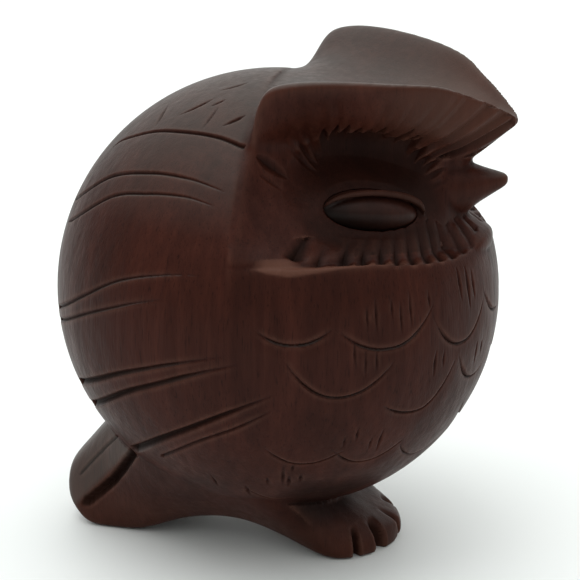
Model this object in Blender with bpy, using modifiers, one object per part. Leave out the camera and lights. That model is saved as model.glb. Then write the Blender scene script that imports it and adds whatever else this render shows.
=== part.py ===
"""Round owl figurine carved from one block of hardwood, with two eyes set into sockets.

The owl faces -Y and stands on Z = 0 on its feet and the end of its tail.
All lengths are metres; tables are written in millimetres and multiplied by MM.
"""

import math

import bmesh
import bpy
from mathutils import Matrix, Vector

MM = 0.001

# Ball-shaped body
BALL_WIDTH = 38.0 * MM  # half extent across, X
BALL_DEPTH = 40.15 * MM  # half extent front to back, Y
BALL_HEIGHT = 39.9 * MM  # half extent up, Z
BALL_CENTRE_Z = 46.9 * MM
BALL_SEGMENTS = 48
BALL_RINGS = 32

# Moves the finished owl so that the middle of its footprint box is at Y = 0
CENTRING_Y = 1.6 * MM

# Face
RIM_Z = 60.5 * MM  # height of the ledge under both face hollows
FACE_BACK_Y = 0.0  # plane where the face hollows start
CORE_FLOOR_Z = 56.0 * MM  # how deep the head loft reaches into the ball
CORE_INSET = 2.5 * MM

# Head sections from the nape to the tip of the brow. Each row is the station Y, then (x, z)
# pairs: crown, crown flank, inner ear face, brow edge inside and outside, brow plate, brow
# lip, hollow top, hollow, wall at eye level, ledge root, ledge, rim.
HEAD_SECTIONS = (
    (5.0, (0, 85.9), (7, 85.2), (11.5, 83.6), (15.5, 81.6), (18.0, 80.0), (20.2, 78.3),
     (21.6, 77.1), (22.8, 76), (26.2, 72.4), (29.3, 68), (31.9, 63.6), (32.9, 61.6), (33.4, 60.5)),
    (1.0, (0, 86.4), (7.2, 85.9), (12.0, 84.8), (16.0, 83.2), (19.0, 81.5), (20.8, 80.3),
     (22.0, 79.4), (23.4, 78.3), (27.9, 73.9), (31.6, 68.8), (34.3, 64.1), (35.3, 61.9), (35.7, 60.5)),
    (-0.8, (0, 86.4), (7.4, 86.0), (12.8, 84.7), (17.2, 83.0), (20.2, 81.4), (21.8, 80.4),
     (22.9, 79.4), (23.7, 78.2), (27.8, 74.0), (31.6, 68.8), (34.3, 64.1), (35.3, 61.9), (35.8, 60.5)),
    (-1.3, (0, 86.4), (7.6, 86.0), (13.2, 84.9), (18.2, 83.0), (22.4, 81.9), (23.3, 81.0),
     (23.5, 79.7), (23.5, 78.4), (27.2, 74.1), (31.4, 68.9), (34.3, 64.1), (35.3, 61.9), (35.8, 60.5)),
    (-2.1, (0, 86.3), (7.7, 86.1), (13.9, 84.9), (20.9, 86.6), (24.5, 86.5), (24.4, 83.6),
     (23.7, 80.9), (22.9, 78.4), (26.2, 74.2), (30.9, 68.9), (34.1, 64.2), (35.2, 61.9), (35.8, 60.5)),
    (-3.8, (0, 86.2), (7.7, 86.1), (14.9, 85.9), (22.2, 89.9), (25.0, 89.2), (24.2, 84.9),
     (23.0, 81.6), (20.6, 78.9), (23.4, 74.5), (29.0, 69.1), (33.2, 64.4), (34.8, 62.0), (35.7, 60.5)),
    (-6.0, (0, 86.0), (7.6, 86.1), (15.2, 87.0), (22.7, 91.0), (25.2, 90.1), (23.7, 85.9),
     (22.1, 82.1), (18.3, 79.7), (19.6, 74.9), (26.6, 69.5), (31.8, 64.7), (34.1, 62.3), (35.5, 60.5)),
    (-10.0, (0, 85.4), (7.2, 85.7), (15.0, 87.7), (22.4, 91.8), (24.9, 90.8), (22.8, 86.6),
     (20.4, 82.4), (15.5, 80.4), (14.4, 75.6), (22.8, 70.0), (28.6, 65.0), (32.0, 62.6), (34.5, 60.5)),
    (-16.8, (0, 84.3), (6.6, 84.9), (13.6, 87.2), (20.4, 91.7), (22.7, 90.7), (20.1, 86.4),
     (17.7, 82.2), (12.3, 80.2), (10.2, 76.0), (18.2, 71.2), (22.6, 65.2), (27.4, 62.8), (31.6, 60.5)),
    (-24.9, (0, 83.5), (5.8, 84.1), (11.6, 86.6), (16.9, 90.8), (19.1, 89.8), (16.2, 85.2),
     (13.6, 80.8), (9.5, 79.0), (7.4, 75.2), (13.0, 70.8), (16.6, 64.8), (21.2, 62.8), (26.0, 60.5)),
    (-30.0, (0, 83.1), (4.9, 83.7), (9.2, 86.0), (12.8, 90.0), (14.7, 89.2), (12.6, 84.4),
     (10.4, 79.8), (7.2, 77.8), (5.2, 74.4), (7.6, 70.0), (10.4, 64.8), (14.8, 62.8), (20.4, 60.5)),
    (-32.6, (0, 82.9), (4.0, 83.5), (7.7, 85.5), (10.8, 89.1), (12.3, 88.3), (10.4, 83.6),
     (8.2, 79.0), (5.2, 75.8), (3.6, 72.6), (3.4, 69.2), (4.0, 65.6), (6.4, 62.6), (14.0, 60.5)),
    (-33.6, (0, 82.8), (3.7, 83.4), (7.1, 85.2), (9.8, 88.5), (11.2, 87.7), (9.5, 83.3),
     (7.4, 78.7), (4.6, 75.2), (3.2, 72.0), (2.6, 68.8), (2.3, 65.6), (2.1, 62.8), (1.8, 60.8)),
    (-34.7, (0, 82.7), (3.4, 83.3), (6.4, 84.9), (8.7, 87.8), (10.0, 87.0), (8.4, 82.9),
     (6.5, 78.2), (4.1, 74.6), (2.8, 73.8), (2.1, 73.5), (1.7, 73.4), (1.2, 73.3), (0.8, 73.3)),
    (-36.2, (0, 82.4), (2.8, 83.0), (5.3, 84.3), (7.2, 86.9), (8.3, 86.1), (7.2, 82.2),
     (5.6, 78.2), (3.6, 75.8), (2.6, 74.9), (2.0, 74.6), (1.6, 74.4), (1.1, 74.3), (0.7, 74.2)),
    (-38.6, (0, 82.2), (1.9, 82.6), (3.7, 83.6), (5.0, 85.5), (5.9, 84.7), (5.1, 81.6),
     (4.0, 79.0), (2.7, 77.2), (1.9, 76.7), (1.5, 76.5), (1.2, 76.4), (0.8, 76.3), (0.5, 76.2)),
    (-41.4, (0, 81.8), (0.9, 82.0), (1.7, 82.4), (2.4, 83.3), (2.9, 82.6), (2.55, 81.1),
     (2.05, 79.9), (1.5, 79.2), (1.1, 78.9), (0.9, 78.8), (0.7, 78.75), (0.5, 78.7), (0.3, 78.7)),
    (-43.4, (0, 81.5), (0.3, 81.5), (0.5, 81.5), (0.7, 81.5), (0.8, 81.3), (0.75, 80.9),
     (0.65, 80.6), (0.5, 80.35), (0.4, 80.28), (0.32, 80.24), (0.25, 80.2), (0.2, 80.2), (0.1, 80.2)),
)

CHIN_CENTRE = (0.0, -30.5 * MM, 59.0 * MM)
CHIN_RADII = (11.5 * MM, 8.6 * MM, 5.3 * MM)

# Beak sections: station Y, half width, bottom Z, top Z
BEAK_SECTIONS = (
    (-25.5, 7.6, 61.8, 75.2),
    (-29.5, 6.8, 62.0, 75.0),
    (-32.8, 5.6, 62.6, 73.6),
    (-35.4, 4.2, 64.5, 72.5),
    (-38.0, 2.9, 66.4, 71.8),
    (-40.2, 1.8, 68.0, 71.4),
    (-41.9, 0.8, 69.1, 70.9),
)
BEAK_SIDES = 16

# Eyes
EYE_CENTRE = (15.8 * MM, -20.2 * MM, 66.8 * MM)
EYE_TURN = math.radians(52.0)  # how far each eye is turned outward from straight ahead
EYE_TILT = math.radians(9.0)  # how far each eye slopes down towards the beak
EYE_RADII = (9.2 * MM, 4.8 * MM, 4.1 * MM)  # along the face, outward, up
EYE_GAP = 0.3 * MM
LID_RADII = (10.1 * MM, 4.2 * MM, 4.8 * MM)
LID_RISE = 0.6 * MM

# Keel with tail and feet, flaring up into the flanks: station Y, half width at the foot,
# bottom Z, half width at the shoulder, shoulder Z, top Z
KEEL_SECTIONS = (
    (39.3, 5.4, 6.2, 5.0, 9.0, 10.2),
    (38.4, 7.4, 4.2, 6.8, 10.4, 12.0),
    (36.6, 8.4, 2.0, 7.7, 12.2, 14.0),
    (34.4, 8.9, 0.0, 8.4, 15.0, 16.8),
    (30.0, 9.1, 0.0, 11.0, 21.4, 21.8),
    (24.5, 9.4, 0.0, 17.6, 22.6, 25.0),
    (20.5, 9.9, 1.6, 20.6, 21.6, 24.0),
    (16.0, 10.6, 3.8, 23.2, 20.6, 20.0),
    (10.0, 11.4, 5.2, 25.2, 19.8, 17.0),
    (4.0, 12.2, 5.6, 26.4, 19.6, 15.0),
    (-2.0, 13.2, 4.2, 25.4, 18.4, 14.5),
    (-7.0, 13.8, 2.3, 20.0, 14.6, 13.5),
    (-12.0, 14.0, 0.0, 13.6, 7.2, 9.8),
    (-15.5, 13.8, 0.0, 12.0, 5.2, 7.4),
    (-18.4, 11.6, 0.0, 9.6, 4.2, 5.7),
    (-20.8, 8.4, 0.0, 7.2, 3.6, 4.6),
    (-22.4, 4.6, 0.0, 4.0, 3.0, 3.9),
    (-23.1, 2.0, 0.4, 1.6, 2.2, 3.0),
)

# Notches between the toes: angle from straight ahead about the foot centre, degrees
TOE_NOTCHES = (0.0, 30.0, 53.0)
TOE_CENTRE = (0.0, -9.0 * MM)
TOE_REACH = (4.0 * MM, 16.0 * MM)
TOE_NOTCH_HALF = 0.8 * MM
TOE_NOTCH_HEIGHT = 4.5 * MM

# Lines cut into each side, as (y, z) points on the side view of the ball
WING_LINES = (
    ((36.0, 62.9), (25.9, 70.7), (16.9, 73.5), (8.8, 73.9), (3.0, 73.0)),
    ((35.6, 60.2), (24.7, 68.2), (16.5, 70.6), (9.0, 71.3), (3.4, 70.6)),
    ((36.5, 45.2), (28.0, 51.6), (20.0, 56.4), (11.0, 59.0), (1.5, 60.0)),
    ((36.6, 42.5), (28.0, 48.2), (17.8, 52.9), (10.0, 55.2), (5.5, 56.0)),
    ((31.2, 32.8), (22.0, 38.6), (13.9, 42.2), (6.0, 44.8), (-1.0, 46.6)),
    ((29.0, 28.8), (20.0, 35.6), (11.0, 40.1), (4.0, 43.0), (-2.5, 45.1)),
    ((22.0, 20.6), (14.0, 27.0), (5.1, 32.5), (-2.0, 36.4), (-8.6, 39.7)),
    ((14.6, 22.6), (6.0, 28.6), (-2.1, 32.9), (-8.4, 36.8)),
    ((25.0, 75.9), (18.0, 78.8), (10.9, 79.9), (5.0, 79.9), (0.6, 79.2)),
)
WING_LINE_WIDTH = 0.9 * MM
WING_LINE_DEPTH = 0.9 * MM
LINE_STEPS = 3  # curve points between two points of a line
LINE_END_DEPTH = 0.3  # share of the depth left where a line runs out

# Grooves down each side of the tail, as (x, y, z) points on its side
TAIL_GROOVES = (
    ((16.6, 21.4, 19.9), (14.3, 24.6, 15.8), (11.6, 28.4, 11.0), (9.6, 32.2, 7.0), (8.7, 35.6, 4.0)),
    ((14.8, 26.6, 21.4), (11.6, 29.6, 17.6), (9.4, 33.0, 13.6), (8.2, 36.2, 9.6)),
)
TAIL_GROOVE_WIDTH = 1.3 * MM
TAIL_GROOVE_DEPTH = 1.4 * MM
TAIL_GROOVE_REACH = 3.0 * MM  # how far the cutter stands out of the side

SHARP_ANGLE = math.radians(35.0)  # edges bent by more than this stay crisp
WOOD_COLOUR = (0.075, 0.032, 0.02, 1.0)
EYE_COLOUR = (0.045, 0.02, 0.014, 1.0)
WOOD_ROUGHNESS = 0.42
EYE_ROUGHNESS = 0.25


def clear_scene():
    """Remove every object, then every collection."""
    for obj in list(bpy.data.objects):
        bpy.data.objects.remove(obj, do_unlink=True)
    for collection in list(bpy.data.collections):
        bpy.data.collections.remove(collection)


def new_collection(name):
    collection = bpy.data.collections.new(name)
    bpy.context.scene.collection.children.link(collection)
    return collection


def new_material(name, colour, roughness):
    material = bpy.data.materials.new(name)
    material.use_nodes = True
    shader = material.node_tree.nodes["Principled BSDF"]
    shader.inputs["Base Color"].default_value = colour
    shader.inputs["Roughness"].default_value = roughness
    shader.inputs["Metallic"].default_value = 0.0
    return material


def object_from(bm, name, collection):
    """Turn a bmesh into an object with outward faces, moved to the common origin."""
    bmesh.ops.translate(bm, verts=bm.verts, vec=(0.0, CENTRING_Y, 0.0))
    bmesh.ops.recalc_face_normals(bm, faces=bm.faces)
    mesh = bpy.data.meshes.new(name)
    bm.to_mesh(mesh)
    bm.free()
    mesh.shade_smooth()
    mesh.set_sharp_from_angle(angle=SHARP_ANGLE)
    obj = bpy.data.objects.new(name, mesh)
    collection.objects.link(obj)
    return obj


def add_loft(bm, rings):
    """Skin a row of rings, each with the same number of points, and cap both ends."""
    rows = [[bm.verts.new(point) for point in ring] for ring in rings]
    for near, far in zip(rows, rows[1:]):
        count = len(near)
        for i in range(count):
            j = (i + 1) % count
            bm.faces.new((near[i], near[j], far[j], far[i]))
    bm.faces.new(rows[0])
    bm.faces.new(rows[-1])


def add_ellipsoid(bm, matrix, segments=32, rings=20):
    bmesh.ops.create_uvsphere(
        bm, u_segments=segments, v_segments=rings, radius=1.0, matrix=matrix
    )


def add_subsurf(obj, levels):
    modifier = obj.modifiers.new("smooth", "SUBSURF")
    modifier.levels = levels
    modifier.render_levels = levels


def add_boolean(obj, other, operation):
    modifier = obj.modifiers.new(other.name, "BOOLEAN")
    modifier.object = other
    modifier.operation = operation
    modifier.solver = "EXACT"


def mirrored_ring(y, half):
    """A ring in the plane Y = y from points on its +X half, top centre to bottom centre."""
    right = [(x, y, z) for x, z in half]
    left = [(-x, y, z) for x, z in reversed(half[1:-1])]
    return right + left


def ball_x(y, z):
    """Half width of the ball at a station and a height."""
    dy, dz = y / BALL_DEPTH, (z - BALL_CENTRE_Z) / BALL_HEIGHT
    return BALL_WIDTH * math.sqrt(max(0.0, 1.0 - dy * dy - dz * dz))


def make_ball(collection):
    bm = bmesh.new()
    size = Matrix.Diagonal((BALL_WIDTH, BALL_DEPTH, BALL_HEIGHT, 1.0))
    add_ellipsoid(
        bm, Matrix.Translation((0.0, 0.0, BALL_CENTRE_Z)) @ size, BALL_SEGMENTS, BALL_RINGS
    )
    return object_from(bm, "carved_body", collection)


def make_face_cut(collection):
    """The quarter of the ball in front of the ears and above the rim."""
    bm = bmesh.new()
    size = 2.0 * BALL_DEPTH
    centre = (0.0, FACE_BACK_Y - 0.5 * size, RIM_Z + 0.5 * size)
    bmesh.ops.create_cube(
        bm, size=1.0, matrix=Matrix.Translation(centre) @ Matrix.Scale(size, 4)
    )
    return object_from(bm, "face_cut", collection)


def make_head(collection):
    bm = bmesh.new()
    rings = []
    for y, *points in HEAD_SECTIONS:
        half = [(x * MM, z * MM) for x, z in points]
        rim_x, rim_z = half[-1]
        if rim_z <= RIM_Z:
            half.append((rim_x - CORE_INSET, CORE_FLOOR_Z))
            half.append((0.0, CORE_FLOOR_Z))
        else:
            half.append((0.5 * rim_x, rim_z))
            half.append((0.0, rim_z))
        rings.append(mirrored_ring(y * MM, half))
    add_loft(bm, rings)
    head = object_from(bm, "head_form", collection)
    add_subsurf(head, 1)
    return head


def make_chin(collection):
    bm = bmesh.new()
    add_ellipsoid(
        bm, Matrix.Translation(CHIN_CENTRE) @ Matrix.Diagonal((*CHIN_RADII, 1.0)), 24, 16
    )
    return object_from(bm, "chin_form", collection)


def make_beak(collection):
    bm = bmesh.new()
    rings = []
    for y, half_width, bottom, top in BEAK_SECTIONS:
        middle, height = 0.5 * (top + bottom), 0.5 * (top - bottom)
        ring = []
        for i in range(BEAK_SIDES):
            angle = 2.0 * math.pi * i / BEAK_SIDES
            x = half_width * math.sin(angle)
            z = middle + height * math.cos(angle)
            ring.append((x * MM, y * MM, z * MM))
        rings.append(ring)
    add_loft(bm, rings)
    beak = object_from(bm, "beak_form", collection)
    add_subsurf(beak, 1)
    return beak


def make_keel(collection):
    bm = bmesh.new()
    rings = []
    for y, foot, bottom, shoulder, shoulder_z, top in KEEL_SECTIONS:
        waist = max(foot, 0.5 * (foot + shoulder) + 0.6)
        half = [
            (0.0, top), (0.6 * shoulder, top), (shoulder, shoulder_z),
            (waist, 0.5 * (bottom + shoulder_z)), (foot, bottom + 0.6), (0.94 * foot, bottom),
            (0.5 * foot, bottom), (0.0, bottom),
        ]
        rings.append(mirrored_ring(y * MM, [(x * MM, z * MM) for x, z in half]))
    add_loft(bm, rings)
    return object_from(bm, "keel_form", collection)


def make_eye_shape(name, side, radii, rise, collection):
    """An ellipsoid lying along the face where an eye goes."""
    x, y, z = EYE_CENTRE
    place = Matrix.Translation((side * x, y, z + rise))
    turn = Matrix.Rotation(side * EYE_TURN, 4, "Z")
    tilt = Matrix.Rotation(-side * EYE_TILT, 4, "Y")
    bm = bmesh.new()
    add_ellipsoid(bm, place @ turn @ tilt @ Matrix.Diagonal((*radii, 1.0)), 28, 16)
    return object_from(bm, name, collection)


def smooth_line(line):
    """Points on a Catmull-Rom curve through a line's points."""
    ends = [line[0], *line, line[-1]]
    points = []
    for i in range(len(line) - 1):
        a, b, c, d = (Vector(point) for point in ends[i : i + 4])
        for step in range(LINE_STEPS):
            t = step / LINE_STEPS
            points.append(
                0.5 * (2 * b + (c - a) * t + (2 * a - 5 * b + 4 * c - d) * t**2
                       + (3 * b - a - 3 * c + d) * t**3)
            )
    return [*points, Vector(line[-1])]


def skin_point(side, y, z):
    """A point on the ball's skin from its side view."""
    return Vector((side * ball_x(y, z), y, z))


def skin_normal(point):
    return Vector((
        point.x / BALL_WIDTH**2, point.y / BALL_DEPTH**2,
        (point.z - BALL_CENTRE_Z) / BALL_HEIGHT**2,
    )).normalized()


def add_line_cut(bm, side, line):
    """A V-shaped cut that follows a line on the ball's skin."""
    skin = [skin_point(side, y * MM, z * MM) for y, z in smooth_line(line)]
    last = len(skin) - 1
    rings = []
    for i, point in enumerate(skin):
        normal = skin_normal(point)
        along = skin[min(i + 1, last)] - skin[max(i - 1, 0)]
        across = along.cross(normal).normalized() * WING_LINE_WIDTH
        depth = WING_LINE_DEPTH * (LINE_END_DEPTH if i in (0, last) else 1.0)
        top = point + normal * WING_LINE_DEPTH
        rings.append((top + across, point - normal * depth, top - across))
    add_loft(bm, rings)


def make_line_cuts(collection):
    bm = bmesh.new()
    for side in (-1.0, 1.0):
        for line in WING_LINES:
            add_line_cut(bm, side, line)
    return object_from(bm, "wing_line_cuts", collection)


def make_tail_cuts(collection):
    bm = bmesh.new()
    for side in (-1.0, 1.0):
        out = Vector((side, 0.0, 0.0))
        for line in TAIL_GROOVES:
            points = [Vector((side * x, y, z)) * MM for x, y, z in line]
            last = len(points) - 1
            rings = []
            for i, point in enumerate(points):
                along = points[min(i + 1, last)] - points[max(i - 1, 0)]
                across = along.cross(out).normalized() * TAIL_GROOVE_WIDTH
                top = point + out * TAIL_GROOVE_REACH
                rings.append((top + across, point - out * TAIL_GROOVE_DEPTH, top - across))
            add_loft(bm, rings)
    return object_from(bm, "tail_cuts", collection)


def make_toe_cuts(collection):
    bm = bmesh.new()
    near, far = TOE_REACH
    for degrees in sorted({side * angle for side in (-1.0, 1.0) for angle in TOE_NOTCHES}):
        angle = math.radians(degrees)
        out = Vector((math.sin(angle), -math.cos(angle), 0.0))
        across = Vector((out.y, -out.x, 0.0)) * TOE_NOTCH_HALF
        centre = Vector((*TOE_CENTRE, 0.0))
        rings = []
        for z, spread in ((-MM, 1.0), (TOE_NOTCH_HEIGHT, 0.6)):
            lift = Vector((0.0, 0.0, z))
            tip = centre + out * near + out * (far - near) * 0.35 + lift
            edge = centre + out * far + lift
            rings.append((tip, edge + across * spread, edge - across * spread))
        add_loft(bm, rings)
    return object_from(bm, "toe_cuts", collection)


def main():
    clear_scene()
    owl = new_collection("owl_figurine")
    tools = new_collection("cutters")
    wood = new_material("rosewood", WOOD_COLOUR, WOOD_ROUGHNESS)
    polished = new_material("eye_wood", EYE_COLOUR, EYE_ROUGHNESS)

    body = make_ball(owl)
    body.data.materials.append(wood)
    add_boolean(body, make_face_cut(tools), "DIFFERENCE")
    for form in (make_head(tools), make_chin(tools), make_beak(tools), make_keel(tools)):
        add_boolean(body, form, "UNION")
    for name, side in (("right", -1.0), ("left", 1.0)):
        socket_radii = [radius + EYE_GAP for radius in EYE_RADII]
        lid = make_eye_shape(f"{name}_lid_form", side, LID_RADII, LID_RISE, tools)
        socket = make_eye_shape(f"{name}_socket_cut", side, socket_radii, 0.0, tools)
        add_boolean(body, lid, "UNION")
        add_boolean(body, socket, "DIFFERENCE")
        eye = make_eye_shape(f"{name}_eye", side, EYE_RADII, 0.0, owl)
        eye.data.materials.append(polished)
    for cut in (make_line_cuts(tools), make_tail_cuts(tools), make_toe_cuts(tools)):
        add_boolean(body, cut, "DIFFERENCE")

    for tool in tools.objects:
        tool.hide_render = True
        tool.display_type = "WIRE"


main()
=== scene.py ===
"""Looks of the carved owl: a finely carved hardwood body and two polished eyes."""

import math

import bmesh
import bpy
import numpy as np
from mathutils import Matrix, Vector


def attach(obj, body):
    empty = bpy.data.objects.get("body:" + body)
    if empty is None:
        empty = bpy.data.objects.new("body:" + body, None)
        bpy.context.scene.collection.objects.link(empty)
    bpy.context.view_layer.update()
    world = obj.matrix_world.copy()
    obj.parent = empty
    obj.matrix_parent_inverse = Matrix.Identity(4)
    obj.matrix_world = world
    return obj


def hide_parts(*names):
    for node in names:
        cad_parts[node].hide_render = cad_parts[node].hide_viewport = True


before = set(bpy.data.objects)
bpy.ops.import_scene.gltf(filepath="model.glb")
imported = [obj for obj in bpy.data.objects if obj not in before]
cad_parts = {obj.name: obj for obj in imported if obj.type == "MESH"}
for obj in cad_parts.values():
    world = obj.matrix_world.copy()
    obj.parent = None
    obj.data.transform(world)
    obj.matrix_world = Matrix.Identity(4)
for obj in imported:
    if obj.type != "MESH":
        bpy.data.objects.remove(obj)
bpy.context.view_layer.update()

# Shapes are worked out in millimetres about the middle of the ball-shaped body, with the owl
# facing -Y, and are moved to the common frame when they become objects.
MM = 0.001
CENTRING_Y = 1.6
SIDES = (-1.0, 1.0)  # the owl's right and its left
VOXEL = 0.32

# The ball: its radii across, along and up, and the height of its middle
BALL = np.array((38.0, 40.15, 39.9))
BALL_Z = 46.9
# Height of the ledge under the eyes, and of the foot of the head's core inside the ball
RIM_Z = 60.5
CORE_FLOOR_Z = 56.0

# The head: y of each section, then half of its outline as (x, z) points, from the middle of
# the crown out over the ear ridge and down the eye hollow to the rim
HEAD_SECTIONS = (
    (5.0, (0, 85.9), (7, 85.2), (11.5, 83.6), (15.5, 81.6), (18.0, 80.0), (20.2, 78.3),
     (21.6, 77.1), (22.8, 76), (26.2, 72.4), (29.3, 68), (31.9, 63.6), (32.9, 61.6), (33.4, 60.5)),
    (1.0, (0, 86.4), (7.2, 85.9), (12.0, 84.8), (16.0, 83.2), (19.0, 81.5), (20.8, 80.3),
     (22.0, 79.4), (23.4, 78.3), (27.9, 73.9), (31.6, 68.8), (34.3, 64.1), (35.3, 61.9), (35.7, 60.5)),
    (-0.8, (0, 86.4), (7.4, 86.0), (12.8, 84.7), (17.2, 83.0), (20.2, 81.4), (21.8, 80.4),
     (22.9, 79.4), (23.7, 78.2), (27.8, 74.0), (31.6, 68.8), (34.3, 64.1), (35.3, 61.9), (35.8, 60.5)),
    (-1.3, (0, 86.4), (7.6, 86.0), (13.2, 84.9), (18.2, 83.0), (22.4, 81.9), (23.3, 81.0),
     (23.5, 79.7), (23.5, 78.4), (27.2, 74.1), (31.4, 68.9), (34.3, 64.1), (35.3, 61.9), (35.8, 60.5)),
    (-2.1, (0, 86.3), (7.7, 86.1), (13.9, 84.9), (20.9, 86.6), (24.5, 86.5), (24.4, 83.6),
     (23.7, 80.9), (22.9, 78.4), (26.2, 74.2), (30.9, 68.9), (34.1, 64.2), (35.2, 61.9), (35.8, 60.5)),
    (-3.8, (0, 86.2), (7.7, 86.1), (14.9, 85.9), (22.2, 89.9), (25.0, 89.2), (24.2, 84.9),
     (23.0, 81.6), (20.6, 78.9), (23.4, 74.5), (29.0, 69.1), (33.2, 64.4), (34.8, 62.0), (35.7, 60.5)),
    (-6.0, (0, 86.0), (7.6, 86.1), (15.2, 87.0), (22.7, 91.0), (25.2, 90.1), (23.7, 85.9),
     (22.1, 82.1), (18.3, 79.7), (19.6, 74.9), (26.6, 69.5), (31.8, 64.7), (34.1, 62.3), (35.5, 60.5)),
    (-10.0, (0, 85.4), (7.2, 85.7), (15.0, 87.7), (22.4, 91.65), (24.9, 90.8), (22.8, 86.6),
     (20.4, 82.4), (15.5, 80.4), (14.4, 75.6), (22.8, 70.0), (28.6, 65.0), (32.0, 62.6), (34.5, 60.5)),
    (-16.8, (0, 84.3), (6.6, 84.9), (13.6, 87.2), (20.4, 91.7), (22.7, 90.7), (20.1, 86.4),
     (17.7, 82.2), (12.3, 80.2), (10.2, 76.0), (18.2, 71.2), (22.6, 65.2), (27.4, 62.8), (31.6, 60.5)),
    (-24.9, (0, 83.5), (5.8, 84.1), (11.6, 86.6), (16.9, 90.8), (19.1, 89.8), (16.2, 85.2),
     (13.6, 80.8), (9.5, 79.0), (7.4, 75.2), (13.0, 70.8), (16.6, 64.8), (21.2, 62.8), (26.0, 60.5)),
    (-30.0, (0, 83.1), (4.9, 83.7), (9.2, 86.0), (12.8, 90.0), (14.7, 89.2), (12.6, 84.4),
     (10.4, 79.8), (7.2, 77.8), (5.2, 74.4), (7.6, 70.0), (10.4, 64.8), (14.8, 62.8), (20.4, 60.5)),
    (-32.6, (0, 82.9), (4.0, 83.5), (7.7, 85.5), (10.8, 89.1), (12.3, 88.3), (10.4, 83.6),
     (8.2, 79.0), (5.2, 75.8), (3.6, 72.6), (3.4, 69.2), (4.0, 65.6), (6.4, 62.6), (14.0, 60.5)),
    (-33.6, (0, 82.8), (3.7, 83.4), (7.1, 85.2), (9.8, 88.5), (11.2, 87.7), (9.5, 83.3),
     (7.4, 78.7), (4.6, 75.2), (3.2, 72.0), (2.6, 68.8), (2.3, 65.6), (2.1, 62.8), (1.8, 60.8)),
    (-34.7, (0, 82.7), (3.4, 83.3), (6.4, 84.9), (8.7, 87.8), (10.0, 87.0), (8.4, 82.9),
     (6.5, 78.2), (4.1, 74.6), (2.8, 73.8), (2.1, 73.5), (1.7, 73.4), (1.2, 73.3), (0.8, 73.3)),
    (-36.2, (0, 82.4), (2.8, 83.0), (5.3, 84.3), (7.2, 86.9), (8.3, 86.1), (7.2, 82.2),
     (5.6, 78.2), (3.6, 75.8), (2.6, 74.9), (2.0, 74.6), (1.6, 74.4), (1.1, 74.3), (0.7, 74.2)),
    (-38.6, (0, 82.2), (1.9, 82.6), (3.7, 83.6), (5.0, 85.5), (5.9, 84.7), (5.1, 81.6),
     (4.0, 79.0), (2.7, 77.2), (1.9, 76.7), (1.5, 76.5), (1.2, 76.4), (0.8, 76.3), (0.5, 76.2)),
    (-41.4, (0, 81.8), (0.9, 82.0), (1.7, 82.4), (2.4, 83.3), (2.9, 82.6), (2.55, 81.1),
     (2.05, 79.9), (1.5, 79.2), (1.1, 78.9), (0.9, 78.8), (0.7, 78.75), (0.5, 78.7), (0.3, 78.7)),
    (-43.4, (0, 81.5), (0.3, 81.5), (0.5, 81.5), (0.7, 81.5), (0.8, 81.3), (0.75, 80.9),
     (0.65, 80.6), (0.5, 80.35), (0.4, 80.28), (0.32, 80.24), (0.25, 80.2), (0.2, 80.2), (0.1, 80.2)),
)
# The beak: y, half width, and height of its bottom and top
BEAK_SECTIONS = (
    (-25.5, 7.6, 61.8, 75.2),
    (-29.5, 6.8, 62.0, 75.0),
    (-32.8, 5.6, 62.6, 73.6),
    (-35.4, 4.2, 64.5, 72.5),
    (-38.0, 2.9, 66.4, 71.8),
    (-40.2, 1.8, 68.0, 71.4),
    (-41.9, 0.8, 69.1, 70.9),
)
# The feet and the tail, one form from front to back under the ball: y, half width and height
# of the underside, half width and height of the shoulder, and height of the top
KEEL_SECTIONS = (
    (39.3, 5.4, 6.2, 5.0, 9.0, 10.2),
    (38.4, 7.4, 4.2, 6.8, 10.4, 12.0),
    (36.6, 8.4, 2.0, 7.7, 12.2, 14.0),
    (34.4, 8.9, 0.0, 8.4, 15.0, 16.8),
    (30.0, 9.1, 0.0, 11.0, 21.4, 21.8),
    (24.5, 9.4, 0.0, 17.6, 22.6, 25.0),
    (20.5, 9.9, 1.6, 20.6, 21.6, 24.0),
    (16.0, 10.6, 3.8, 23.2, 20.6, 20.0),
    (10.0, 11.4, 5.2, 25.2, 19.8, 17.0),
    (4.0, 12.2, 5.6, 26.4, 19.6, 15.0),
    (-2.0, 13.2, 4.2, 25.4, 18.4, 14.5),
    (-7.0, 13.8, 2.3, 20.0, 14.6, 13.5),
    (-12.0, 14.0, 0.0, 13.6, 7.2, 9.8),
    (-15.5, 13.8, 0.0, 12.0, 5.2, 7.4),
    (-18.4, 11.6, 0.0, 9.6, 4.2, 5.7),
    (-20.8, 8.4, 0.0, 7.2, 3.6, 4.6),
    (-22.4, 4.6, 0.0, 4.0, 3.0, 3.9),
    (-23.1, 2.0, 0.4, 1.6, 2.2, 3.0),
)
CHIN_CENTRE = (0.0, -30.5, 59.0)
CHIN_RADII = (11.5, 8.6, 5.3)

# The left eye: its middle, how far round it faces from straight ahead, how far its beak end
# dips, its radii along, outward and up, and the gap between it and its socket
EYE_CENTRE = np.array((15.8, -20.2, 66.8))
EYE_TURN = math.radians(52.0)
EYE_TILT = math.radians(9.0)
EYE_RADII = np.array((9.2, 4.8, 4.1))
SOCKET_GAP = 0.12

# The upper lid: its arc over the eye in degrees, half length, rise, how far the hook at the
# beak end drops, how far out its ends stand and how much more its middle does, and how thick
# it is at the rear end and how much it gains towards the beak
LID_ARC = (172.0, -8.0)
LID_HALF_LENGTH = 9.7
LID_RISE = 4.35
LID_HOOK_DROP = 1.3
LID_END_OUT = 0.9
LID_MIDDLE_OUT = 2.2
LID_THICKNESS = 0.35
LID_THICKNESS_GAIN = 0.55

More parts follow.
